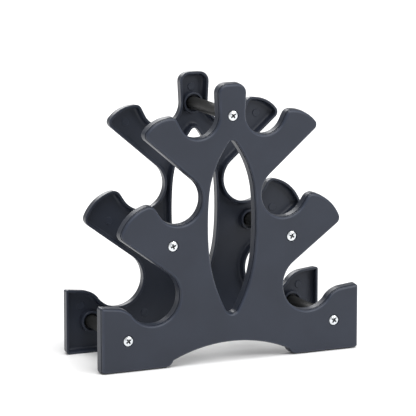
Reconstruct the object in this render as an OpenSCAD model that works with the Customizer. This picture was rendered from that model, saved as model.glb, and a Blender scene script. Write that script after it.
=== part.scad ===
// Three-tier dumbbell rack: two tree-shaped tray panels, held apart by five rods and ten screws.
// The origin is on the floor, midway between the panels and between the feet.
// +X is the rack's width, +Z is up, and the front panel is on the -Y side.

/* [Rack] */
// Overall height, from the floor to the top of the head
rack_h = 262; // [258:0.5:268]
// Overall width across the feet
rack_w = 264; // [258:1:276]
// Overall depth, from one panel's outer face to the other's
rack_d = 98; // [70:1:160]

/* [Panel section] */
// Depth of one panel, from its outer face to the rim on its inner side
panel_t = 11; // [9:0.5:14]
// Thickness of the web behind the outer face
web_t = 3; // [2.8:0.1:4]
// Thickness of the wall round the web
wall_t = 2.2; // [1.6:0.1:2.3]
// Depth of the stepped-in edge next to the outer face
step_d = 2.6; // [1.5:0.1:2.7]
// How far that edge is stepped in from the wall
step_in = 1; // [0.4:0.1:1.2]

/* [Cradles] */
// Radius of the lower pair of cradles
lower_r = 25.8; // [24:0.1:26.5]
// Radius of the middle pair of cradles
middle_r = 22.8; // [21:0.1:23.5]
// Radius of the top pair of cradles
top_r = 19.7; // [18:0.1:20]

/* [Rods] */
// Diameter of the five connecting rods
rod_d = 12; // [10:0.5:13]
// Outer diameter of the collar round a rod's end
collar_d = 20; // [19:0.5:21]
// Height of a collar above the web
collar_h = 6; // [3:0.5:7]
// Thickness of a collar's ring
collar_wall = 1.9; // [1.5:0.1:2.1]

/* [Screws] */
// Diameter of a screw's head
head_d = 9.2; // [8:0.1:9.5]
// Diameter of a screw's shank
shank_d = 3.6; // [3:0.1:4.2]
// Length of a screw under its head
screw_l = 18; // [12:1:22]

/* [Hidden] */
arc_error = 0.1;
foot_h = 62.4;
foot_corner_r = 2.4;
foot_sole_r = 3.5;
arch_h = 18.3;
arch_r = 146;
arch_foot = [67.5, 9];
arch_corner_r = 1.5;
head_half_w = 14.8;
head_corner_r = 9.6;
middle_end_r = 39;
upper_end_r = 32;
counterbore_d = 10.8;
counterbore_h = 1.4;
head_h = 1.8;
head_bevel = 0.9;
point_l = 3;
fit_gap = 0.2;
socket_h = 2;
recess_w = 1.4;
recess_l = 5.2;
recess_h = 1.2;
eps = 0.01;

// A loop is a list of circles [x, z, r] joined by their common tangents.
// A positive r rounds a corner that stands out, and a negative r hollows one that goes in.

// The point ra from a and rb from b, to the left of the way from a to b
function between(a, b, ra, rb) =
    let (d = norm(b - a), along = (ra * ra - rb * rb + d * d) / (2 * d))
    let (across = sqrt(ra * ra - along * along), u = (b - a) / d)
    a + along * u + across * [-u[1], u[0]];
function spot(c) = [c[0], c[1]];
function arm_end(lower, upper, r) = concat(between(spot(lower), spot(upper), r - lower[2], r - upper[2]), r);
function mirrored(loop) = [for (i = [len(loop) - 1 : -1 : 0]) [-loop[i][0], loop[i][1], loop[i][2]]];
function grown(loop, by) = [for (c = loop) [c[0], c[1], c[2] + by]];

arch_c = [0, arch_h - arch_r];
arch_corner = between(arch_c, arch_foot, arch_r - arch_corner_r, arch_foot[1] + arch_corner_r);
middle_low = [104.6, 128, 7.5];
middle_high = [83.5, 145.2, 8.5];
upper_low = [80.9, 218.3, 6.4];
upper_high = [60.3, 227.7, 6.4];

right_side = [
    concat(arch_corner, -arch_corner_r),
    concat(arch_foot, arch_foot[1]),
    [rack_w / 2 - foot_sole_r, foot_sole_r, foot_sole_r],
    [rack_w / 2 - foot_corner_r, foot_h - foot_corner_r, foot_corner_r],
    [117.5, 38, 23],
    [79.3, 68, -lower_r],
    middle_low,
    arm_end(middle_low, middle_high, middle_end_r),
    middle_high,
    [53.5, 156.5, -middle_r],
    upper_low,
    arm_end(upper_low, upper_high, upper_end_r),
    upper_high,
    [33.5, 232.6, -top_r],
    [head_half_w - head_corner_r, rack_h - head_corner_r, head_corner_r],
];
tree = concat([concat(arch_c, -arch_r)], right_side, mirrored(right_side));

// The opening in the trunk is a tall pointed oval of flat side arcs, tighter shoulders and small tips.
oval_half_w = 23.7;
oval_z = 131;
oval_side_r = 299;
oval_top = [5, 94, 4];
oval_bottom = [-5, 137, 6];
// Each end is [angle where the shoulder meets the side arc, shoulder radius, tip radius].
function shoulder(s) =
    let (reach = oval_side_r - s[1])
    [oval_half_w - oval_side_r + reach * cos(s[0]), oval_z + reach * sin(s[0]), s[1]];
function tip(s) =
    let (c = shoulder(s), reach = s[1] - s[2])
    [0, c[1] + sign(s[0]) * sqrt(reach * reach - c[0] * c[0]), s[2]];
oval_right = [
    shoulder(oval_bottom),
    [oval_half_w - oval_side_r, oval_z, oval_side_r],
    shoulder(oval_top),
];
oval = concat(oval_right, [tip(oval_top)], mirrored(oval_right), [tip(oval_bottom)]);

// Rod and screw places: name, x and z
sites = [
    ["top", 0, 232],
    ["middle_left", -60.5, 114.5],
    ["middle_right", 60.5, 114.5],
    ["lower_left", -105.5, 29.5],
    ["lower_right", 105.5, 29.5],
];
sides = ["front", "rear"];
function rod_name(site) = str(site[0], "_rod");
function screw_name(side, site) = str(side, "_", site[0], "_screw");

// The direction, from the centre of a, of the point where the tangent to the next circle b leaves it
function leaving(a, b) =
    let (d = spot(b) - spot(a))
    atan2(d[1], d[0]) - acos(max(-1, min(1, (a[2] - b[2]) / norm(d))));
function turned(angle) = angle - 360 * floor(angle / 360);
function sweep(r, angle) =
    let (t = turned(r > 0 ? angle : -angle))
    (t > 350 ? t - 360 : t) * sign(r);
function arc(c, from, to) =
    let (turn = sweep(c[2], to - from))
    let (step = 2 * acos(1 - arc_error / max(abs(c[2]), 1)))
    let (n = max(1, ceil(abs(turn) / step)))
    abs(turn) < 0.1
        ? [spot(c) + c[2] * [cos(from), sin(from)]]
        : [for (i = [0 : n]) spot(c) + c[2] * [cos(from + turn * i / n), sin(from + turn * i / n)]];
function outline(loop) =
    let (n = len(loop), out = [for (i = [0 : n - 1]) leaving(loop[i], loop[(i + 1) % n])])
    [for (i = [0 : n - 1]) each arc(loop[i], out[(i + n - 1) % n], out[i])];

// The tree with its oval opening, larger all round by the amount given
module tree_shape(by) {
    difference() {
        polygon(outline(grown(tree, by)));
        polygon(outline(grown(oval, -by)));
    }
}

module at_sites() {
    for (site = sites) translate([site[1], site[2], 0]) children();
}

// One panel, lying with its outer face on z = 0 and its open side up
module tray() {
    difference() {
        union() {
            difference() {
                union() {
                    linear_extrude(step_d) tree_shape(-step_in);
                    translate([0, 0, step_d]) linear_extrude(panel_t - step_d) tree_shape(0);
                }
                translate([0, 0, web_t]) linear_extrude(panel_t) tree_shape(-wall_t);
            }
            at_sites() translate([0, 0, web_t / 2]) cylinder(d = collar_d, h = web_t / 2 + collar_h, $fn = 64);
        }
        at_sites() {
            translate([0, 0, web_t]) cylinder(d = rod_d + fit_gap, h = panel_t, $fn = 64);
            translate([0, 0, web_t + socket_h]) cylinder(d = collar_d - 2 * collar_wall, h = panel_t, $fn = 64);
            translate([0, 0, -eps]) cylinder(d = shank_d + 2 * fit_gap, h = panel_t, $fn = 32);
            translate([0, 0, -eps]) cylinder(d = counterbore_d, h = counterbore_h + eps, $fn = 48);
        }
    }
}

// Stands a lying piece up at the rear face, or mirrors it to the front
module stand_at(side) {
    mirror([0, side == "front" ? 1 : 0, 0])
        translate([0, rack_d / 2, 0]) rotate([90, 0, 0]) children();
}

module panel(side) {
    color("#3c3f45") stand_at(side) tray();
}

module rod(site) {
    length = rack_d - 2 * web_t;
    pilot_l = screw_l - web_t + counterbore_h + 1;
    color("#4a4a46")
        translate([site[1], length / 2, site[2]])
        rotate([90, 0, 0])
        difference() {
            cylinder(d = rod_d, h = length, $fn = 64);
            translate([0, 0, -eps]) cylinder(d = shank_d + fit_gap, h = pilot_l, $fn = 32);
            translate([0, 0, length - pilot_l]) cylinder(d = shank_d + fit_gap, h = pilot_l + eps, $fn = 32);
        }
}

module screw(side, site) {
    color("#c8ccd0")
        stand_at(side)
        translate([site[1], site[2], counterbore_h - head_h])
        difference() {
            rotate_extrude($fn = 48)
                polygon([
                    [0, 0],
                    [head_d / 2 - head_bevel, 0],
                    [head_d / 2, head_bevel],
                    [head_d / 2, head_h],
                    [shank_d / 2, head_h],
                    [shank_d / 2, head_h + screw_l - point_l],
                    [0, head_h + screw_l],
                ]);
            for (turn = [0, 90])
                rotate([0, 0, turn])
                translate([-recess_l / 2, -recess_w / 2, -eps])
                cube([recess_l, recess_w, recess_h + eps]);
        }
}

for (side = sides)
    panel(side);
for (site = sites)
    rod(site);
for (side = sides, site = sites)
    screw(side, site);
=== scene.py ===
import math

import bmesh
import bpy
from bpy.props import FloatProperty, FloatVectorProperty, IntProperty, PointerProperty
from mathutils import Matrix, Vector


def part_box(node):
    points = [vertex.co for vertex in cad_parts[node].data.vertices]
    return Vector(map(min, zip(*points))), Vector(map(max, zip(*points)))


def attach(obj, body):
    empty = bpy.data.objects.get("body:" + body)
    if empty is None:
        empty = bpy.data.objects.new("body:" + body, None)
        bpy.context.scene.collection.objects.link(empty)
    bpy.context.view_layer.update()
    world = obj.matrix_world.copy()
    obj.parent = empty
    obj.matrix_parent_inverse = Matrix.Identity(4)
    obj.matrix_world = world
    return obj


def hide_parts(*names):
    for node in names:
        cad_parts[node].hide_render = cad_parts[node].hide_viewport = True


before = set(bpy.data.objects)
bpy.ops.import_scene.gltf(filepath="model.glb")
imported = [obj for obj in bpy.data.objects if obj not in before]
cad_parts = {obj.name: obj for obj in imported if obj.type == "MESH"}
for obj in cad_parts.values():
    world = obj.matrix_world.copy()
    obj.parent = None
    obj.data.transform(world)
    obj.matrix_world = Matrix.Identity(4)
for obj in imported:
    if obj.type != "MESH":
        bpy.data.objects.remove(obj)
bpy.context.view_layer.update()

bl_info = {
    "name": "Dumbbell Rack",
    "version": (1, 0, 0),
    "blender": (4, 5, 0),
    "location": "3D View > Sidebar > Rack",
    "description": "Builds a small tree-shaped rack for light dumbbells, with its studio",
    "category": "Object",
}

MM = 0.001
BODY = "root"
SHARP_DEGREES = 38
ROUND_STEPS = 64
SIDES = ("front", "rear")
SITES = ("top", "middle_left", "middle_right", "lower_left", "lower_right")

# Places and sizes that the frame gives
FRONT_LOW, FRONT_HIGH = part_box("front_panel")
REAR_LOW, REAR_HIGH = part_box("rear_panel")
ROD_LOW, ROD_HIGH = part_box("top_rod")
SCREW_LOW, SCREW_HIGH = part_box("front_top_screw")
HALF_WIDTH = FRONT_HIGH.x
HEIGHT = FRONT_HIGH.z
PANEL_DEPTH = FRONT_HIGH.y - FRONT_LOW.y
WEB = ROD_LOW.y - FRONT_LOW.y
ROD_RADIUS = (ROD_HIGH.x - ROD_LOW.x) / 2
HEAD_RADIUS = (SCREW_HIGH.x - SCREW_LOW.x) / 2


def site_place(site):
    """The x and z of a rod's axis, and of the screws at its ends."""
    low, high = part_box(site + "_rod")
    return (low.x + high.x) / 2, (low.z + high.z) / 2


# ---------------------------------------------------------------- outlines

def between(a, b, ra, rb):
    """The point ra from a and rb from b, to the left of the way from a to b."""
    d = math.hypot(b[0] - a[0], b[1] - a[1])
    ux, uz = (b[0] - a[0]) / d, (b[1] - a[1]) / d
    along = (ra * ra - rb * rb + d * d) / (2 * d)
    across = math.sqrt(max(ra * ra - along * along, 0))
    return a[0] + along * ux - across * uz, a[1] + along * uz + across * ux


def arm_end(lower, upper, radius):
    """The wide arc that closes an arm between its two rounded corners."""
    return (*between(lower, upper, radius - lower[2], radius - upper[2]), radius)


def mirrored(circles):
    """Mirrors circles, with the inward direction that a sharp corner's circle also carries."""
    return [(-x, z, r, *((-inward[0], inward[1]) if inward else ()))
            for x, z, r, *inward in reversed(circles)]


class Outline:
    """A closed line round circles (x, z, radius), joined by their common tangents, in millimetres.

    A positive radius rounds a corner that stands out, and a negative one hollows a corner that goes in.
    The line has the same points at every offset, so that offset rings can be joined point to point.
    """

    SMALLEST = 0.12
    TOUCHING = 0.02
    NEARLY_ROUND = math.radians(350)

    def __init__(self, circles, step_degrees):
        self.circles = circles
        out = self.leaving(circles)
        self.counts = []
        for i, circle in enumerate(circles):
            sweep = self.sweep(circle[2], out[i] - out[i - 1])
            self.counts.append(max(1, math.ceil(abs(sweep) / math.radians(step_degrees(abs(circle[2]))))))
        pairs = zip(circles[-1:] + circles[:-1], circles)
        self.joined = [self.tangent_length(a, b) < self.TOUCHING for a, b in pairs]

    @staticmethod
    def tangent_length(a, b):
        gap = (b[0] - a[0]) ** 2 + (b[1] - a[1]) ** 2 - (a[2] - b[2]) ** 2
        return math.sqrt(max(gap, 0))

    @staticmethod
    def leaving(circles):
        """The angles about the circles' centres where the tangents to the next circles leave them."""
        angles = []
        for a, b in zip(circles, circles[1:] + circles[:1]):
            dx, dz = b[0] - a[0], b[1] - a[1]
            lean = max(-1, min(1, (a[2] - b[2]) / math.hypot(dx, dz)))
            angles.append(math.atan2(dz, dx) - math.acos(lean))
        return angles

    @classmethod
    def sweep(cls, radius, angle):
        """How far a circle's arc turns: a turn that comes out as nearly full is a small one backwards."""
        turn = (angle if radius > 0 else -angle) % math.tau
        if turn > cls.NEARLY_ROUND:
            turn -= math.tau
        return math.copysign(turn, radius * turn) if turn else 0.0

    def grown(self, by):
        """The circles of the line that lies by outside this one.

        A small round shrinks to nearly a point, and then moves in its inward direction.
        """
        result = []
        for x, z, radius, *inward in self.circles:
            r = radius + by
            if radius > 0 and r < self.SMALLEST:
                shift = self.SMALLEST - r
                dx, dz = inward or (0, 0)
                x, z, r = x + dx * shift, z + dz * shift, self.SMALLEST
            result.append((x, z, r))
        return result

    def at(self, by):
        """The points (x, z) of the line that lies by outside this one."""
        circles = self.grown(by)
        out = self.leaving(circles)
        points = []
        for i, (x, z, r) in enumerate(circles):
            start, turn = out[i - 1], self.sweep(r, out[i] - out[i - 1])
            for k in range(1 if self.joined[i] else 0, self.counts[i] + 1):
                angle = start + turn * k / self.counts[i]
                points.append((x + r * math.cos(angle), z + r * math.sin(angle)))
        return points


class Circle:
    """A ring of equal steps round one point, in millimetres, with the same interface as Outline."""

    def __init__(self, x, z, radius, steps):
        self.x, self.z, self.radius, self.steps = x, z, radius, steps

    def at(self, by):
        r = self.radius + by
        turns = [math.tau * k / self.steps for k in range(self.steps)]
        return [(self.x + r * math.cos(t), self.z + r * math.sin(t)) for t in turns]


def fine_step(radius):
    """Degrees between points on an arc, for a chord within a few microns of it."""
    chord_gap, smallest_radius, finest, coarsest = 0.006, 0.3, 0.5, 12
    step = math.degrees(2 * math.acos(1 - chord_gap / max(radius, smallest_radius)))
    return max(finest, min(coarsest, step))


def tree_outline():
    """The panel's outline at its rim: head, two pairs of arms, feet and arch."""
    half_w, height, foot_h, head_half_w = HALF_WIDTH / MM, HEIGHT / MM, 62.4, 14.8
    sole_r, foot_corner_r, head_corner_r = 3.5, 2.4, 9.6
    foot_slope = (117.5, 38, 23)
    lower_cradle, middle_cradle, top_cradle = (79.3, 68, -25.8), (53.5, 156.5, -22.8), (33.5, 232.6, -19.7)
    arch_r, arch_h, arch_corner_r = 146, 18.3, 1.5
    foot = (67.5, 9, 9)
    arch = (0, arch_h - arch_r, -arch_r)
    arch_corner = between(arch, foot, arch_r - arch_corner_r, foot[2] + arch_corner_r)
    middle_low, middle_high, middle_end_r = (104.6, 128, 7.5), (83.5, 145.2, 8.5), 39
    upper_low, upper_high, upper_end_r = (80.9, 218.3, 6.4), (60.3, 227.7, 6.4), 32
    right = [
        (*arch_corner, -arch_corner_r),
        foot,
        (half_w - sole_r, sole_r, sole_r, -1, 1),
        (half_w - foot_corner_r, foot_h - foot_corner_r, foot_corner_r, -1, -1),
        foot_slope,
        lower_cradle,
        middle_low,
        arm_end(middle_low, middle_high, middle_end_r),
        middle_high,
        middle_cradle,
        upper_low,
        arm_end(upper_low, upper_high, upper_end_r),
        upper_high,
        top_cradle,
        (head_half_w - head_corner_r, height - head_corner_r, head_corner_r),
    ]
    return Outline([arch, *right, *mirrored(right)], fine_step)


def oval_outline():
    """The tall pointed opening in the trunk: flat side arcs, tighter shoulders and small tips."""
    half_w, mid_z, side_r = 23.7, 131, 299
    # Each end's angle where its shoulder meets the side arc, and its shoulder's radius
    top, bottom = (5, 94), (-5, 137)
    top_tip_r, bottom_tip_r = 4, 6

    def shoulder(angle, radius):
        reach = side_r - radius
        a = math.radians(angle)
        return half_w - side_r + reach * math.cos(a), mid_z + reach * math.sin(a), radius

    def tip(angle, shoulder_r, radius):
        x, z, _ = shoulder(angle, shoulder_r)
        reach = shoulder_r - radius
        return 0, z + math.copysign(math.sqrt(reach * reach - x * x), angle), radius

    right = [shoulder(*bottom), (half_w - side_r, mid_z, side_r), shoulder(*top)]
    circles = [*right, tip(*top, top_tip_r), *mirrored(right), tip(*bottom, bottom_tip_r)]
    return Outline(circles, fine_step)


# ---------------------------------------------------------------- meshes

class Shell:
    """Builds a closed mesh from rings of points. place turns (x, z, depth) in millimetres into metres."""

    def __init__(self, place):
        self.mesh = bmesh.new()
        # The vertex attribute holds wear and painted light: paler edges that are partly rubbed wear and
        # partly painted highlight, and painted shade in the screws' cross recess
        self.wear = self.mesh.verts.layers.float.new("wear")
        self.place = place

    def ring(self, points, depth, wear=0.0):
        verts = [self.mesh.verts.new(self.place(x, z, depth)) for x, z in points]
        for v in verts:
            v[self.wear] = wear
        return verts

    def bridge(self, a, b):
        """Joins two rings of as many points with a band of quads."""
        n = len(a)
        for i in range(n):
            j = (i + 1) % n
            self.mesh.faces.new((a[i], a[j], b[j], b[i]))

    def join(self, rings):
        """Joins rings in a row, and returns the first and last."""
        for a, b in zip(rings, rings[1:]):
            self.bridge(a, b)
        return rings[0], rings[-1]

    def loft(self, line, profile):
        """Joins one line's rings at each (offset, depth, wear and painted light) of a profile. Returns the
        first and last.
        """
        return self.join([self.ring(line.at(by), depth, wear) for by, depth, wear in profile])

    def blended_loft(self, line, narrow, wide, shares, sign=1):
        """A loft between two profiles: shares says how much of the wide one each point of the line takes."""
        rings = []
        for (by_a, depth_a, wear), (by_b, depth_b, _) in zip(narrow, wide):
            verts = []
            for a, b, t in zip(line.at(sign * by_a), line.at(sign * by_b), shares):
                x, z, depth = (m + (n - m) * t for m, n in zip((*a, depth_a), (*b, depth_b)))
                verts.append(self.mesh.verts.new(self.place(x, z, depth)))
                verts[-1][self.wear] = wear
            rings.append(verts)
        return self.join(rings)

    def flat(self, rings):
        """Fills the flat area between rings."""
        edges = set()
        for ring in rings:
            for a, b in zip(ring, ring[1:] + ring[:1]):
                edges.add(self.mesh.edges.get((a, b)) or self.mesh.edges.new((a, b)))
        bmesh.ops.triangle_fill(self.mesh, use_beauty=True, edges=list(edges))

    def disc(self, ring):
        """Closes one ring with a single face."""
        self.mesh.faces.new(ring)

    def finish(self, name, sharp_degrees=SHARP_DEGREES):
        """Puts the mesh in the scene as a smooth-shaded object, with its sharp edges marked."""
        bmesh.ops.remove_doubles(self.mesh, verts=self.mesh.verts, dist=1e-7)
        bmesh.ops.recalc_face_normals(self.mesh, faces=self.mesh.faces)
        data = bpy.data.meshes.new(name)
        self.mesh.to_mesh(data)
        self.mesh.free()
        data.polygons.foreach_set("use_smooth", [True] * len(data.polygons))
        data.set_sharp_from_angle(angle=math.radians(sharp_degrees))
        piece = bpy.data.objects.new(name, data)
        bpy.context.scene.collection.objects.link(piece)
        return piece


def corner(by, depth, radius, start, end, steps, wear=1.0):
    """Profile points along a rounded edge: an arc about (by, depth), paler in its middle from wear and
    painted highlight.
    """
    points = []
    for k in range(steps + 1):
        a = math.radians(start + (end - start) * k / steps)
        w = wear * math.sin(math.pi * k / steps)
        points.append((by + radius * math.cos(a), depth + radius * math.sin(a), w))
    return points


# How much of the outer side's draft the wall's inner side takes
WALL_LEAN = 0.5


def edge_profile(s, root):
    """The panel's edge from its outer face, over the rounded edge, groove, wall and rim, down to the web.

    Each point is (offset from the rim's outline, depth from the outer face, wear and painted highlight), in
    millimetres.
    root is the radius of the fillet between the wall and the web.
    """
    fillet, step, groove = s.fillet / MM, s.step / MM, s.groove / MM
    rim, draft = s.rim_round / MM, s.draft / MM
    depth, wall, web = PANEL_DEPTH / MM, s.wall / MM, WEB / MM
    margin, ease, groove_ease, wall_ease = 0.5, 0.04, 0.08, 0.1
    lip = fillet + 0.2
    shoulder = lip + s.groove_width / MM
    inner_rim = rim * 0.6
    # The third figures paint the fillet, the groove's edges, the wall's start and the rim paler: partly
    # wear, partly painted highlight
    points = [(-step - fillet - margin, 0, 0)]
    points += corner(-step - fillet, fillet, fillet, -90, 0, 8)
    points += [(-step - ease, lip - ease, 0.1), (-step - 3 * ease, lip, 0)]
    points += [(-step - groove, lip + groove_ease, 0), (-step - groove, shoulder - groove_ease, 0)]
    points += [(-draft - wall_ease, shoulder, 0.3), (-draft, shoulder + 1.5 * wall_ease, 0.5)]
    points += [(-draft, shoulder + 6 * wall_ease, 0), (-rim * 0.02, depth - rim - 4 * wall_ease, 0)]
    points += corner(-rim, depth - rim, rim, 0, 90, 4)
    points += corner(-wall + inner_rim, depth - inner_rim, inner_rim, 90, 180, 3, 0.8)
    foot, run_out = wall + draft * WALL_LEAN, 0.3
    points += [(-foot, web + root + run_out, 0)]
    points += corner(-foot - root, web + root, root, 0, -90, 6, 0)
    points += [(-foot - root - run_out, web, 0)]
    return points


def root_shares(line, other, s):
    """How much of the wide root fillet there is room for, at each point of a line, beside the other line."""
    narrow, wide = s.narrow_root / MM, s.wide_root / MM
    clearance = 0.35
    taken = (s.wall + s.draft * WALL_LEAN) / MM + narrow + clearance
    rivals = other.at(0)
    shares = []
    for x, z in line.at(0):
        room = min(math.hypot(x - u, z - v) for u, v in rivals) / 2
        shares.append(max(0.0, min(1.0, (room - taken) / (wide - narrow))))
    return shares


def seat_profile(s):
    """A screw's sunk seat and hole, from the outer face through the web."""
    web, sink, sink_r = WEB / MM, s.counterbore_depth / MM, s.counterbore_radius / MM
    hole, mouth, ease, margin = 2.0, 0.3, 0.15, 0.5
    points = [(sink_r + mouth + 0.4, 0, 0)]
    # The mouth's rounding is painted paler: partly wear, partly painted highlight
    points += corner(sink_r + mouth, mouth, mouth, -90, -180, 3, 0.6)
    points += [(sink_r, sink - ease, 0), (sink_r - ease, sink, 0)]
    points += [(hole, sink, 0), (hole, web, 0), (hole + margin, web, 0)]
    return points


def collar_profile(s):
    """A collar's section, once round: up the outer side of its ring, and down inside to the rod's socket."""
    web, top = WEB / MM, (WEB + s.collar_height) / MM
    outer, inner = s.collar_radius / MM, (s.collar_radius - s.collar_wall) / MM
    socket, floor, buried = ROD_RADIUS / MM + 0.1, (WEB + s.socket_depth) / MM, web - 0.6
    hole, skirt, crown, ease, lead, lean = 2.6, 0.3, 0.45, 0.2, 0.25, 0.15
    points = [(hole, buried, 0), (outer + skirt, buried, 0)]
    points += [(outer + skirt, web + 0.1, 0), (outer + skirt * 0.4, web + 0.8, 0)]
    # The crown's third figures paint it paler: a painted highlight on the collar's top
    points += corner(outer - crown, top - crown, crown, 0, 90, 4, 0.8)
    points += [(inner + ease, top, 0.4), (inner, top - ease, 0), (inner - lean, floor + ease, 0)]
    points += [(inner - lean - ease, floor, 0), (socket + lead, floor, 0), (socket, floor - lead, 0)]
    points += [(socket, web, 0), (hole, web, 0), (hole, buried, 0)]
    return points


def pin_mark_profile(s):
    """The low round pad that an ejector pin leaves on the web."""
    web, r, top = WEB / MM, s.pin_radius / MM, (WEB + s.pin_rise) / MM
    margin, lean, dish = 0.5, 0.15, 0.1
    # The third figures paint the pad's edge paler: a painted highlight
    return [(r + margin, web, 0), (r, web, 0), (r - lean, web + 0.1, 0), (r - 2 * lean, top - 0.12, 0.3),
            (r - 3 * lean, top, 0.7), (r - 0.8, top, 0.2), (r * 0.3, top - dish, 0)]


# Ejector pin marks on the web's inner side, x and z in millimetres. All but the first are in pairs.
PAIRED_PIN_MARKS = ((68, 217.5), (85.5, 124), (114.5, 45), (49, 32))
PIN_MARKS = [(0, 247)] + [(side * x, z) for x, z in PAIRED_PIN_MARKS for side in (-1, 1)]


def plain_copy(source, name):
    """The evaluated object as a plain mesh of its own, with no modifiers."""
    bpy.context.view_layer.update()
    evaluated = source.evaluated_get(bpy.context.evaluated_depsgraph_get())
    data = bpy.data.meshes.new_from_object(evaluated)
    data.name = name
    piece = bpy.data.objects.new(name, data)
    bpy.context.scene.collection.objects.link(piece)
    return piece


def weld(piece, parts):
    """Joins parts to a piece by unions into one mesh, and removes them."""
    for part in parts:
        union = piece.modifiers.new("Weld", "BOOLEAN")
        union.operation = "UNION"
        union.solver = "EXACT"
        union.object = part
    welded = plain_copy(piece, piece.name + "_welded")
    for old in (piece, *parts):
        bpy.data.objects.remove(old)
    return welded


def build_panel(name, side, s):
    """One side panel: a tray with a collar round each rod's place."""
    face_y = FRONT_LOW.y if side == "front" else REAR_HIGH.y
    inward = 1 if side == "front" else -1

    def place(x, z, depth):
        return x * MM, face_y + inward * depth * MM, z * MM

    shell = Shell(place)
    narrow, wide = edge_profile(s, s.narrow_root / MM), edge_profile(s, s.wide_root / MM)
    face, web = [], []
    tree, oval = tree_outline(), oval_outline()
    for line, other, sign in ((tree, oval, 1), (oval, tree, -1)):
        shares = root_shares(line, other, s)
        first, last = shell.blended_loft(line, narrow, wide, shares, sign)
        face.append(first)
        web.append(last)
    spots = [[c / MM for c in site_place(site)] for site in SITES]
    for x, z in spots:
        first, last = shell.loft(Circle(x, z, 0, ROUND_STEPS), seat_profile(s))
        face.append(first)
        web.append(last)
    for x, z in PIN_MARKS:
        first, last = shell.loft(Circle(x, z, 0, ROUND_STEPS // 2), pin_mark_profile(s))
        web.append(first)
        shell.disc(last)
    shell.flat(face)
    shell.flat(web)
    tray = shell.finish(name + "_tray")
    collars = []
    for x, z in spots:
        ring = Shell(place)
        ring.loft(Circle(x, z, 0, ROUND_STEPS), collar_profile(s))
        collars.append(ring.finish(name + "_collar"))
    panel = weld(tray, collars)
    panel.name = panel.data.name = name
    panel.data.set_sharp_from_angle(angle=math.radians(SHARP_DEGREES))
    return panel


def build_rod(name, site):
    """A round rod with eased ends and a pilot bore in each."""
    low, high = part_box(site + "_rod")
    x, z = site_place(site)
    length, radius = (high.y - low.y) / MM, ROD_RADIUS / MM
    ease, pilot_r, pilot_depth, steps, spans = 0.5, 1.9, 17.0, 72, 8
    shell = Shell(lambda u, v, depth: (x + u * MM, low.y + depth * MM, z + v * MM))
    half = [(pilot_r, pilot_depth, 0), (pilot_r, 0, 0), (radius - ease - 0.3, 0, 0)]
    half += corner(radius - ease, ease, ease, -90, 0, 4, 0.5)
    start = ease + 1
    half += [(radius, start, 0)]
    middle = [(radius, start + (length - 2 * start) * k / spans, 0) for k in range(1, spans)]
    profile = half + middle + [(r, length - depth, w) for r, depth, w in reversed(half)]
    first, last = shell.loft(Circle(0, 0, 0, steps), profile)
    shell.disc(first)
    shell.disc(last)
    return shell.finish(name)


def cross_outline(half_length, half_width):
    """The cross recess seen from above, with rounded corners."""
    end_r, inner_r, step_degrees = 0.25, 0.3, 22.5
    end_x, end_z, inner = half_length - end_r, half_width - end_r, half_width + inner_r
    right = [(end_x, -end_z, end_r), (end_x, end_z, end_r), (inner, inner, -inner_r)]
    circles = []
    for quarter in range(4):
        for x, z, r in right:
            a = quarter * math.pi / 2
            circles.append((x * math.cos(a) - z * math.sin(a), x * math.sin(a) + z * math.cos(a), r))
    return Outline(circles, lambda radius: step_degrees)


def thread_rings(shell, around, shank_r, length, s):
    """Rings down a screw's shank, which swell where the thread passes, and then come to a point."""
    pitch, ridge, core = s.thread_pitch / MM, s.thread_height / MM, shank_r * 0.82
    start, point, steps, half_ridge = 0.4, 2.5, 8, 0.22
    count = int((length - point) / pitch * steps)
    rings = []
    for k in range(count + 1):
        depth = start + k * pitch / steps
        fade = min(1.0, k / (2 * steps), (count - k) / steps)
        points = []
        for n in range(around.steps):
            turn = n / around.steps
            phase = (depth / pitch - turn) % 1.0
            swell = max(0.0, 1 - abs(phase - 0.5) / half_ridge)
            r = core + ridge * swell * fade
            points.append((r * math.cos(math.tau * turn), r * math.sin(math.tau * turn)))
        rings.append(shell.ring(points, depth))
    taper, tip_r = depth + 0.9, 0.15
    rings.append(shell.ring(around.at(core * 0.6), taper))
    rings.append(shell.ring(around.at(tip_r), length))
    return rings


def build_screw(name, s):
    """One pan-head screw, head up along -depth, with a cross recess and a wood-type thread."""
    head_r, head_h, side_h, shank_r, length = HEAD_RADIUS / MM, 2.1, 1.0, 1.8, 18.0
    shell = Shell(lambda x, z, depth: (x * MM, depth * MM, z * MM))
    around = Circle(0, 0, 0, 48)

    def dome(r):
        return -side_h - (head_h - side_h) * (1 - (r / head_r) ** 2)

    ease, recess_r, dome_radii = 0.15, 2.0, (4.0, 3.6, 3.1)
    profile = [(shank_r, 0, 0), (head_r - ease, 0, 0), (head_r, -ease, 0), (head_r, -side_h + 0.25, 0.3)]
    profile += [(head_r - 0.1, -side_h - 0.08, 1.0), (head_r - 0.35, dome(head_r - 0.45), 0.4)]
    profile += [(r, dome(r), 0) for r in dome_radii]
    shank_top, crown = shell.loft(around, profile)
    cross = cross_outline(s.recess_length / MM / 2, s.recess_width / MM / 2)
    brim, floor = dome(recess_r), dome(recess_r) + s.recess_depth / MM
    # The negative third figures paint shade into the cross recess
    recess = [(0.06, brim, 0), (-0.02, brim + 0.1, -0.5), (-0.06, brim + 0.3, -1), (-0.2, floor, -1)]
    mouth, bottom = shell.loft(cross, recess)
    shell.flat([crown, mouth])
    shell.flat([bottom])
    _, point = shell.join([shank_top, *thread_rings(shell, around, shank_r, length, s)])
    shell.disc(point)
    return shell.finish(name, sharp_degrees=30)


# ---------------------------------------------------------------- node helpers

def node(tree, kind, place, **inputs):
    """Adds a node and sets its inputs by name."""
    n = tree.nodes.new(kind)
    n.location = place
    for key, value in inputs.items():
        n.inputs[key.replace("_", " ")].default_value = value
    return n


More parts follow.
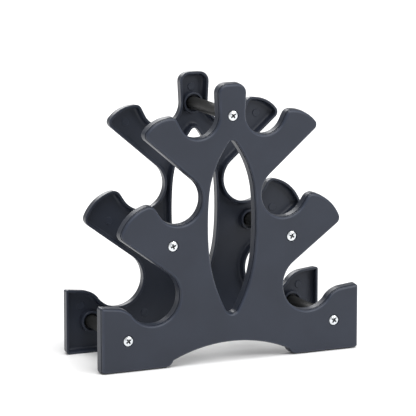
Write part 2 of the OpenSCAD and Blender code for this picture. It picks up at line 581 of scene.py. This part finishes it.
def ramp(tree, place, stops):
    """Adds a colour ramp with a colour at each stop."""
    n = tree.nodes.new("ShaderNodeValToRGB")
    n.location = place
    elements = n.color_ramp.elements
    while len(elements) < len(stops):
        elements.new(0.5)
    for element, (at, value) in zip(elements, stops):
        element.position = at
        element.color = (*value, 1)
    return n


def new_material(name):
    """A material by nodes, with its node tree and its shader."""
    material = bpy.data.materials.new(name)
    material.use_nodes = True
    tree = material.node_tree
    shader = tree.nodes["Principled BSDF"]
    return material, tree, shader


def shade(colour, factor):
    """A colour made darker or paler by a factor."""
    return tuple(min(1.0, c * factor) for c in colour[:3])


def moulded_plastic(colours):
    """Charcoal moulded plastic: fine satin grain, faint cloudiness, paler along edges, partly rubbed wear
    and partly painted highlight where edges catch light.
    """
    material, tree, shader = new_material("Moulded plastic")
    link = tree.links.new
    coords = node(tree, "ShaderNodeTexCoord", (-1200, 0))
    cloud = node(tree, "ShaderNodeTexNoise", (-900, 300), Scale=22.0, Detail=3.0, Roughness=0.55)
    grain = node(tree, "ShaderNodeTexNoise", (-900, 0), Scale=2600.0, Detail=2.0, Roughness=0.6)
    flow = node(tree, "ShaderNodeTexNoise", (-900, -300), Scale=60.0, Detail=2.0, Roughness=0.5)
    for n in (cloud, grain, flow):
        link(coords.outputs["Object"], n.inputs["Vector"])
    base = colours.panel
    tint = ramp(tree, (-600, 300), [(0.3, shade(base, 0.9)), (0.7, shade(base, 1.12))])
    link(cloud.outputs["Fac"], tint.inputs["Fac"])
    # Edges are made paler by the vertex attribute times a streak noise: partly rubbed wear, partly painted
    # highlight
    wear = node(tree, "ShaderNodeAttribute", (-900, 550))
    wear.attribute_name = "wear"
    rub_and_highlight = node(tree, "ShaderNodeMath", (-700, 550))
    rub_and_highlight.operation = "MULTIPLY"
    link(wear.outputs["Fac"], rub_and_highlight.inputs[0])
    link(flow.outputs["Fac"], rub_and_highlight.inputs[1])
    mix = node(tree, "ShaderNodeMix", (-300, 300))
    mix.data_type = "RGBA"
    link(rub_and_highlight.outputs[0], mix.inputs["Factor"])
    link(tint.outputs["Color"], mix.inputs["A"])
    mix.inputs["B"].default_value = (*shade(base, 1.9), 1)
    link(mix.outputs["Result"], shader.inputs["Base Color"])
    rough = node(tree, "ShaderNodeMapRange", (-600, -100), To_Min=-0.04, To_Max=0.05)
    link(flow.outputs["Fac"], rough.inputs["Value"])
    across = node(tree, "ShaderNodeSeparateXYZ", (-900, -550))
    link(coords.outputs["Normal"], across.inputs["Vector"])
    facing = node(tree, "ShaderNodeMath", (-700, -550))
    facing.operation = "ABSOLUTE"
    link(across.outputs["Y"], facing.inputs[0])
    texture = node(tree, "ShaderNodeMapRange", (-500, -550), From_Min=0.6, From_Max=0.95)
    texture.inputs["To Min"].default_value = colours.wall_roughness
    texture.inputs["To Max"].default_value = colours.panel_roughness
    link(facing.outputs[0], texture.inputs["Value"])
    gloss = node(tree, "ShaderNodeMath", (-300, -450))
    gloss.operation = "ADD"
    link(rough.outputs["Result"], gloss.inputs[0])
    link(texture.outputs["Result"], gloss.inputs[1])
    link(gloss.outputs[0], shader.inputs["Roughness"])
    fine = node(tree, "ShaderNodeBump", (-300, -200), Strength=0.22, Distance=0.00004)
    link(grain.outputs["Fac"], fine.inputs["Height"])
    link(fine.outputs["Normal"], shader.inputs["Normal"])
    shader.inputs["Specular IOR Level"].default_value = 0.34
    return material


def rod_plastic(colours):
    """Dark grey rod: a faint drawn streak along its length."""
    material, tree, shader = new_material("Rod")
    link = tree.links.new
    coords = node(tree, "ShaderNodeTexCoord", (-1100, 0))
    stretch = node(tree, "ShaderNodeMapping", (-900, 0))
    stretch.inputs["Scale"].default_value = (1.0, 0.04, 1.0)
    link(coords.outputs["Object"], stretch.inputs["Vector"])
    streak = node(tree, "ShaderNodeTexNoise", (-700, 150), Scale=900.0, Detail=3.0, Roughness=0.6)
    mottle = node(tree, "ShaderNodeTexNoise", (-700, -150), Scale=120.0, Detail=2.0, Roughness=0.5)
    link(stretch.outputs["Vector"], streak.inputs["Vector"])
    link(coords.outputs["Object"], mottle.inputs["Vector"])
    base = colours.rod
    tint = ramp(tree, (-450, 150), [(0.3, shade(base, 0.82)), (0.7, shade(base, 1.2))])
    link(streak.outputs["Fac"], tint.inputs["Fac"])
    link(tint.outputs["Color"], shader.inputs["Base Color"])
    rough = node(tree, "ShaderNodeMapRange", (-450, -150), To_Min=0.42, To_Max=0.58)
    link(mottle.outputs["Fac"], rough.inputs["Value"])
    link(rough.outputs["Result"], shader.inputs["Roughness"])
    bump = node(tree, "ShaderNodeBump", (-200, -300), Strength=0.15, Distance=0.00005)
    link(streak.outputs["Fac"], bump.inputs["Height"])
    link(bump.outputs["Normal"], shader.inputs["Normal"])
    return material


def zinc_plate(colours):
    """Bright zinc plate: slightly uneven, duller in patches, and with painted shade darkening the cross
    recess nearly to black.
    """
    material, tree, shader = new_material("Zinc plate")
    link = tree.links.new
    coords = node(tree, "ShaderNodeTexCoord", (-1000, 0))
    patch = node(tree, "ShaderNodeTexNoise", (-750, 150), Scale=500.0, Detail=3.0, Roughness=0.6)
    pits = node(tree, "ShaderNodeTexNoise", (-750, -150), Scale=3500.0, Detail=2.0, Roughness=0.5)
    for n in (patch, pits):
        link(coords.outputs["Object"], n.inputs["Vector"])
    base = colours.zinc
    tint = ramp(tree, (-500, 150), [(0.3, shade(base, 0.9)), (0.7, shade(base, 1.05))])
    link(patch.outputs["Fac"], tint.inputs["Fac"])
    # Painted shade: the vertex attribute's negative values in the cross recess darken the zinc nearly to
    # black
    wear = node(tree, "ShaderNodeAttribute", (-750, 400))
    wear.attribute_name = "wear"
    recess_shade = node(tree, "ShaderNodeMapRange", (-500, 400), From_Min=0.0, From_Max=-1.0)
    link(wear.outputs["Fac"], recess_shade.inputs["Value"])
    mix = node(tree, "ShaderNodeMix", (-250, 250))
    mix.data_type = "RGBA"
    link(recess_shade.outputs["Result"], mix.inputs["Factor"])
    link(tint.outputs["Color"], mix.inputs["A"])
    mix.inputs["B"].default_value = (*shade(base, 0.1), 1)
    link(mix.outputs["Result"], shader.inputs["Base Color"])
    rough = node(tree, "ShaderNodeMapRange", (-500, -100), To_Min=0.22, To_Max=0.4)
    link(patch.outputs["Fac"], rough.inputs["Value"])
    link(rough.outputs["Result"], shader.inputs["Roughness"])
    bump = node(tree, "ShaderNodeBump", (-250, -250), Strength=0.2, Distance=0.00002)
    link(pits.outputs["Fac"], bump.inputs["Height"])
    link(bump.outputs["Normal"], shader.inputs["Normal"])
    shader.inputs["Metallic"].default_value = 1.0
    return material


# ---------------------------------------------------------------- screws by nodes

def screw_tree(material):
    """Sets a screw on every point, turned about its axis by a seeded random angle."""
    tree = bpy.data.node_groups.new("Screws", "GeometryNodeTree")
    sockets = tree.interface
    sockets.new_socket("Places", in_out="INPUT", socket_type="NodeSocketGeometry")
    sockets.new_socket("Screw", in_out="INPUT", socket_type="NodeSocketObject")
    size = sockets.new_socket("Size", in_out="INPUT", socket_type="NodeSocketFloat")
    size.default_value = 1.0
    seed = sockets.new_socket("Turn Seed", in_out="INPUT", socket_type="NodeSocketInt")
    seed.default_value = 3
    sockets.new_socket("Screws", in_out="OUTPUT", socket_type="NodeSocketGeometry")
    link = tree.links.new
    given = node(tree, "NodeGroupInput", (-800, 0))
    result = node(tree, "NodeGroupOutput", (800, 0))
    info = node(tree, "GeometryNodeObjectInfo", (-500, -200))
    link(given.outputs["Screw"], info.inputs["Object"])
    facing = node(tree, "GeometryNodeInputNamedAttribute", (-700, -400), Name="facing")
    facing.data_type = "FLOAT_VECTOR"
    turn = node(tree, "FunctionNodeRandomValue", (-500, -600))
    turn.data_type = "FLOAT"
    low, high = (socket for socket in turn.inputs if socket.enabled and socket.name in ("Min", "Max"))
    low.default_value, high.default_value = 0.0, math.tau
    angle = next(socket for socket in turn.outputs if socket.enabled)
    link(given.outputs["Turn Seed"], turn.inputs["Seed"])
    spin = node(tree, "ShaderNodeCombineXYZ", (-300, -600))
    link(angle, spin.inputs["Y"])
    about = node(tree, "FunctionNodeEulerToRotation", (-100, -600))
    link(spin.outputs["Vector"], about.inputs["Euler"])
    end = node(tree, "FunctionNodeEulerToRotation", (-300, -400))
    link(facing.outputs["Attribute"], end.inputs["Euler"])
    both = node(tree, "FunctionNodeRotateRotation", (100, -450))
    both.rotation_space = "LOCAL"
    link(end.outputs["Rotation"], both.inputs["Rotation"])
    link(about.outputs["Rotation"], both.inputs["Rotate By"])
    place = node(tree, "GeometryNodeInstanceOnPoints", (250, 0))
    link(given.outputs["Places"], place.inputs["Points"])
    link(info.outputs["Geometry"], place.inputs["Instance"])
    link(both.outputs["Rotation"], place.inputs["Rotation"])
    link(given.outputs["Size"], place.inputs["Scale"])
    real = node(tree, "GeometryNodeRealizeInstances", (430, 0))
    link(place.outputs["Instances"], real.inputs["Geometry"])
    paint = node(tree, "GeometryNodeSetMaterial", (610, 0), Material=material)
    link(real.outputs["Geometry"], paint.inputs["Geometry"])
    link(paint.outputs["Geometry"], result.inputs["Screws"])
    return tree


def socket_id(tree, name):
    """The identifier of a node group's input, by its name."""
    return next(i.identifier for i in tree.interface.items_tree if i.name == name and i.in_out == "INPUT")


def screw_places(s):
    """A mesh of points where the screws' heads bear, with the way each one faces."""
    spots, facing = [], []
    for side in SIDES:
        for site in SITES:
            x, z = site_place(site)
            front = side == "front"
            y = FRONT_LOW.y + s.counterbore_depth if front else REAR_HIGH.y - s.counterbore_depth
            spots.append((x, y, z))
            facing.append((0, 0, 0) if front else (0, 0, math.pi))
    data = bpy.data.meshes.new("Screw places")
    data.from_pydata(spots, [], [])
    layer = data.attributes.new("facing", "FLOAT_VECTOR", "POINT")
    layer.data.foreach_set("vector", [c for f in facing for c in f])
    places = bpy.data.objects.new("Screw places", data)
    bpy.context.scene.collection.objects.link(places)
    return places


# ---------------------------------------------------------------- settings

class RackSizes(bpy.types.PropertyGroup):
    """Sizes of the moulding's and screws' detail."""

    fillet: FloatProperty(
        name="Face Rounding", description="Radius of the rounded edge of a panel's outer face",
        default=2.4 * MM, min=0.5 * MM, max=2.6 * MM, unit="LENGTH", precision=5)
    step: FloatProperty(
        name="Face Step", description="How far the outer face stands inside the rim's outline",
        default=0.85 * MM, min=0.3 * MM, max=1.2 * MM, unit="LENGTH", precision=5)
    groove: FloatProperty(
        name="Groove", description="Depth of the fine groove behind the outer face",
        default=0.7 * MM, min=0.1 * MM, max=0.8 * MM, unit="LENGTH", precision=5)
    groove_width: FloatProperty(
        name="Groove Width", description="Width of the fine groove behind the outer face",
        default=1.1 * MM, min=0.4 * MM, max=1.4 * MM, unit="LENGTH", precision=5)
    draft: FloatProperty(
        name="Draft", description="How far the wall leans in from the rim to the groove",
        default=0.55 * MM, min=0.0, max=1.0 * MM, unit="LENGTH", precision=5)
    wall: FloatProperty(
        name="Wall", description="Thickness of the wall at its rim",
        default=2.2 * MM, min=1.5 * MM, max=2.4 * MM, unit="LENGTH", precision=5)
    rim_round: FloatProperty(
        name="Rim Rounding", description="Radius of the rim's outer edge",
        default=0.35 * MM, min=0.2 * MM, max=0.8 * MM, unit="LENGTH", precision=5)
    wide_root: FloatProperty(
        name="Root Fillet", description="Radius between the wall and the web where there is room",
        default=3.2 * MM, min=1.0 * MM, max=3.6 * MM, unit="LENGTH", precision=5)
    narrow_root: FloatProperty(
        name="Narrow Root Fillet", description="Radius between the wall and the web in the narrowest place",
        default=0.6 * MM, min=0.2 * MM, max=0.9 * MM, unit="LENGTH", precision=5)
    collar_radius: FloatProperty(
        name="Collar Radius", description="Outer radius of the collar round a rod's end",
        default=10.0 * MM, min=9.5 * MM, max=10.5 * MM, unit="LENGTH", precision=5)
    collar_height: FloatProperty(
        name="Collar Height", description="Height of a collar above the web",
        default=6.0 * MM, min=3.0 * MM, max=7.0 * MM, unit="LENGTH", precision=5)
    collar_wall: FloatProperty(
        name="Collar Wall", description="Thickness of a collar's ring",
        default=1.9 * MM, min=1.2 * MM, max=2.4 * MM, unit="LENGTH", precision=5)
    socket_depth: FloatProperty(
        name="Socket Depth", description="Depth of the socket that holds a rod's end",
        default=2.0 * MM, min=1.0 * MM, max=2.5 * MM, unit="LENGTH", precision=5)
    pin_radius: FloatProperty(
        name="Pin Mark Radius", description="Radius of an ejector pin's mark",
        default=3.8 * MM, min=1.5 * MM, max=4.2 * MM, unit="LENGTH", precision=5)
    pin_rise: FloatProperty(
        name="Pin Mark Height", description="Height of an ejector pin's mark above the web",
        default=0.7 * MM, min=0.1 * MM, max=0.8 * MM, unit="LENGTH", precision=5)
    counterbore_radius: FloatProperty(
        name="Screw Seat Radius", description="Radius of the sunk seat round a screw's head",
        default=5.4 * MM, min=4.8 * MM, max=6.0 * MM, unit="LENGTH", precision=5)
    counterbore_depth: FloatProperty(
        name="Screw Seat Depth", description="Depth of the sunk seat round a screw's head",
        default=1.4 * MM, min=0.8 * MM, max=2.0 * MM, unit="LENGTH", precision=5)
    recess_length: FloatProperty(
        name="Recess Length", description="Length of the cross recess in a screw's head",
        default=5.2 * MM, min=3.0 * MM, max=5.8 * MM, unit="LENGTH", precision=5)
    recess_width: FloatProperty(
        name="Recess Width", description="Width of each arm of the cross recess",
        default=1.5 * MM, min=0.8 * MM, max=1.8 * MM, unit="LENGTH", precision=5)
    recess_depth: FloatProperty(
        name="Recess Depth", description="Depth of the cross recess",
        default=1.7 * MM, min=0.6 * MM, max=2.0 * MM, unit="LENGTH", precision=5)
    thread_pitch: FloatProperty(
        name="Thread Pitch", description="Distance between turns of a screw's thread",
        default=1.6 * MM, min=1.0 * MM, max=2.2 * MM, unit="LENGTH", precision=5)
    thread_height: FloatProperty(
        name="Thread Height", description="Height of a screw's thread",
        default=0.35 * MM, min=0.1 * MM, max=0.4 * MM, unit="LENGTH", precision=5)
    turn_seed: IntProperty(
        name="Turn Seed", description="Seed of the angle that each screw was left at", default=3, min=0)


class RackColours(bpy.types.PropertyGroup):
    """Colours and finishes."""

    panel: FloatVectorProperty(
        name="Panel", description="Colour of the moulded panels", subtype="COLOR",
        default=(0.0213, 0.0262, 0.0395), min=0, max=1)
    panel_roughness: FloatProperty(
        name="Panel Roughness", description="Roughness of the moulded panels", subtype="FACTOR",
        default=0.42, min=0, max=1)
    wall_roughness: FloatProperty(
        name="Wall Roughness", subtype="FACTOR",
        description="Roughness of the panels' walls, which are smoother than the faces",
        default=0.34, min=0, max=1)
    rod: FloatVectorProperty(
        name="Rods", description="Colour of the rods", subtype="COLOR",
        default=(0.0125, 0.013, 0.0128), min=0, max=1)
    zinc: FloatVectorProperty(
        name="Screws", description="Colour of the screws' zinc plate", subtype="COLOR",
        default=(0.78, 0.81, 0.84), min=0, max=1)
    floor: FloatVectorProperty(
        name="Floor", description="Colour of the floor", subtype="COLOR",
        default=(0.9, 0.9, 0.9), min=0, max=1)


# ---------------------------------------------------------------- operators

def mount_piece(piece, material, material_slot, *nodes):
    """Finishes a piece: its material, the body it rides on and the frame's nodes that it stands for."""
    piece.data.materials.clear()
    piece.data.materials.append(material)
    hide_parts(*nodes)
    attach(piece, BODY)


class RACK_OT_panels(bpy.types.Operator):
    """Builds the two side panels"""

    bl_idname = "rack.panels"
    bl_label = "Side Panels"

    def execute(self, context):
        material = moulded_plastic(context.scene.rack_colours)
        for side in SIDES:
            piece = build_panel(side + "_side_panel", side, context.scene.rack_sizes)
            mount_piece(piece, material, "panel_plastic", side + "_panel")
        return {"FINISHED"}


class RACK_OT_rods(bpy.types.Operator):
    """Builds the five rods that hold the panels apart"""

    bl_idname = "rack.rods"
    bl_label = "Rods"

    def execute(self, context):
        material = rod_plastic(context.scene.rack_colours)
        for site in SITES:
            piece = build_rod(site + "_spacer_rod", site)
            mount_piece(piece, material, "rod_plastic", site + "_rod")
        return {"FINISHED"}


class RACK_OT_screws(bpy.types.Operator):
    """Sets a screw at both ends of every rod"""

    bl_idname = "rack.screws"
    bl_label = "Screws"

    def execute(self, context):
        sizes = context.scene.rack_sizes
        material = zinc_plate(context.scene.rack_colours)
        pattern = build_screw("Screw pattern", sizes)
        places = screw_places(sizes)
        tree = screw_tree(material)
        setter = places.modifiers.new("Screws", "NODES")
        setter.node_group = tree
        setter[socket_id(tree, "Screw")] = pattern
        setter[socket_id(tree, "Turn Seed")] = sizes.turn_seed
        piece = plain_copy(places, "screws")
        for helper in (places, pattern):
            bpy.data.objects.remove(helper)
        names = [f"{side}_{site}_screw" for side in SIDES for site in SITES]
        mount_piece(piece, material, "zinc", *names)
        return {"FINISHED"}


def hang_light(data, power, place, source):
    """Puts a light in the scene at a place, shining from the direction of its source."""
    data.energy = power
    light = bpy.data.objects.new(data.name, data)
    light.location = place
    light.rotation_euler = Vector(source).to_track_quat("Z", "Y").to_euler()
    bpy.context.scene.collection.objects.link(light)


def soft_light(name, place, aim, size, power):
    """A round soft box that faces its aim."""
    data = bpy.data.lights.new(name, "AREA")
    data.shape = "DISK"
    data.size = size
    hang_light(data, power, place, Vector(place) - Vector(aim))


def sky_light(name, direction, spread_degrees, power):
    """A wide light from far away, the same all over the floor."""
    data = bpy.data.lights.new(name, "SUN")
    data.angle = math.radians(spread_degrees)
    hang_light(data, power, (0, 0, 0), direction)


class RACK_OT_studio(bpy.types.Operator):
    """Builds the pale floor, the soft light and the camera"""

    bl_idname = "rack.studio"
    bl_label = "Studio"

    CAMERA_AZIMUTH = -24.372
    CAMERA_ELEVATION = 10.686
    CAMERA_DISTANCE = 2.588
    CAMERA_AIM = (-0.0199, -0.0367, 0.1453)
    CAMERA_LENS = 242
    CAMERA_SENSOR = 36
    FLOOR_RINGS = (30, 2, 0.5)
    FLOOR_STEPS = 96
    LIGHT_AIM = (0, 0, 0.12)
    # Strength of the white sky as light, and as the camera sees it
    SKY_LIGHT = 0.5
    SKY_SEEN = 1.05

    def execute(self, context):
        self.add_floor(context)
        self.add_light(context)
        self.add_camera(context)
        return {"FINISHED"}

    def add_floor(self, context):
        shell = Shell(lambda x, z, depth: (x * MM, z * MM, depth * MM))
        _, middle = shell.loft(Circle(0, 0, 0, self.FLOOR_STEPS), [(r / MM, 0, 0) for r in self.FLOOR_RINGS])
        shell.disc(middle)
        floor = shell.finish("Floor")
        if floor.data.polygons[0].normal.z < 0:
            floor.data.flip_normals()
        material, _, shader = new_material("Floor")
        shader.inputs["Base Color"].default_value = (*context.scene.rack_colours.floor, 1)
        shader.inputs["Roughness"].default_value = 0.9
        shader.inputs["Specular IOR Level"].default_value = 0.1
        floor.data.materials.append(material)

    def add_light(self, context):
        world = bpy.data.worlds.new("Studio")
        world.use_nodes = True
        tree = world.node_tree
        background = tree.nodes["Background"]
        background.inputs["Color"].default_value = (1, 1, 1, 1)
        seen = node(tree, "ShaderNodeLightPath", (-500, 200))
        strength = node(tree, "ShaderNodeMapRange", (-250, 200), To_Min=self.SKY_LIGHT, To_Max=self.SKY_SEEN)
        tree.links.new(seen.outputs["Is Camera Ray"], strength.inputs["Value"])
        tree.links.new(strength.outputs["Result"], background.inputs["Strength"])
        context.scene.world = world
        context.scene.view_settings.view_transform = "Standard"
        soft_light("Front right", (0.8, -1.1, 0.8), self.LIGHT_AIM, size=0.4, power=5.4)
        soft_light("Back", (0.2, 1.5, 0.85), self.LIGHT_AIM, size=0.8, power=6)
        sky_light("Overhead", (0, -0.36, 1), spread_degrees=60, power=2.7)

    def add_camera(self, context):
        a, e = math.radians(self.CAMERA_AZIMUTH), math.radians(self.CAMERA_ELEVATION)
        back = Vector((math.sin(a) * math.cos(e), -math.cos(a) * math.cos(e), math.sin(e)))
        data = bpy.data.cameras.new("Camera")
        data.sensor_width = self.CAMERA_SENSOR
        data.lens = self.CAMERA_LENS
        data.clip_end = 100
        camera = bpy.data.objects.new("Camera", data)
        camera.location = Vector(self.CAMERA_AIM) + back * self.CAMERA_DISTANCE
        camera.rotation_euler = back.to_track_quat("Z", "Y").to_euler()
        context.scene.collection.objects.link(camera)
        context.scene.camera = camera


class RACK_PT_panel(bpy.types.Panel):
    """Lists the rack's pieces and sizes in the sidebar"""

    bl_idname = "RACK_PT_panel"
    bl_label = "Dumbbell Rack"
    bl_space_type = "VIEW_3D"
    bl_region_type = "UI"
    bl_category = "Rack"

    def draw(self, context):
        layout = self.layout
        for operator in PIECE_OPERATORS:
            layout.operator(operator.bl_idname)
        for group in (context.scene.rack_sizes, context.scene.rack_colours):
            box = layout.box()
            for name in group.bl_rna.properties.keys():
                if name not in ("rna_type", "name"):
                    box.prop(group, name)


PIECE_OPERATORS = (RACK_OT_studio, RACK_OT_panels, RACK_OT_rods, RACK_OT_screws)
CLASSES = (RackSizes, RackColours, *PIECE_OPERATORS, RACK_PT_panel)


def register():
    for cls in CLASSES:
        bpy.utils.register_class(cls)
    bpy.types.Scene.rack_sizes = PointerProperty(type=RackSizes)
    bpy.types.Scene.rack_colours = PointerProperty(type=RackColours)


def unregister():
    del bpy.types.Scene.rack_colours
    del bpy.types.Scene.rack_sizes
    for cls in reversed(CLASSES):
        bpy.utils.unregister_class(cls)


def main():
    register()
    bpy.ops.rack.studio()
    bpy.ops.rack.panels()
    bpy.ops.rack.rods()
    bpy.ops.rack.screws()


if __name__ == "__main__":
    main()
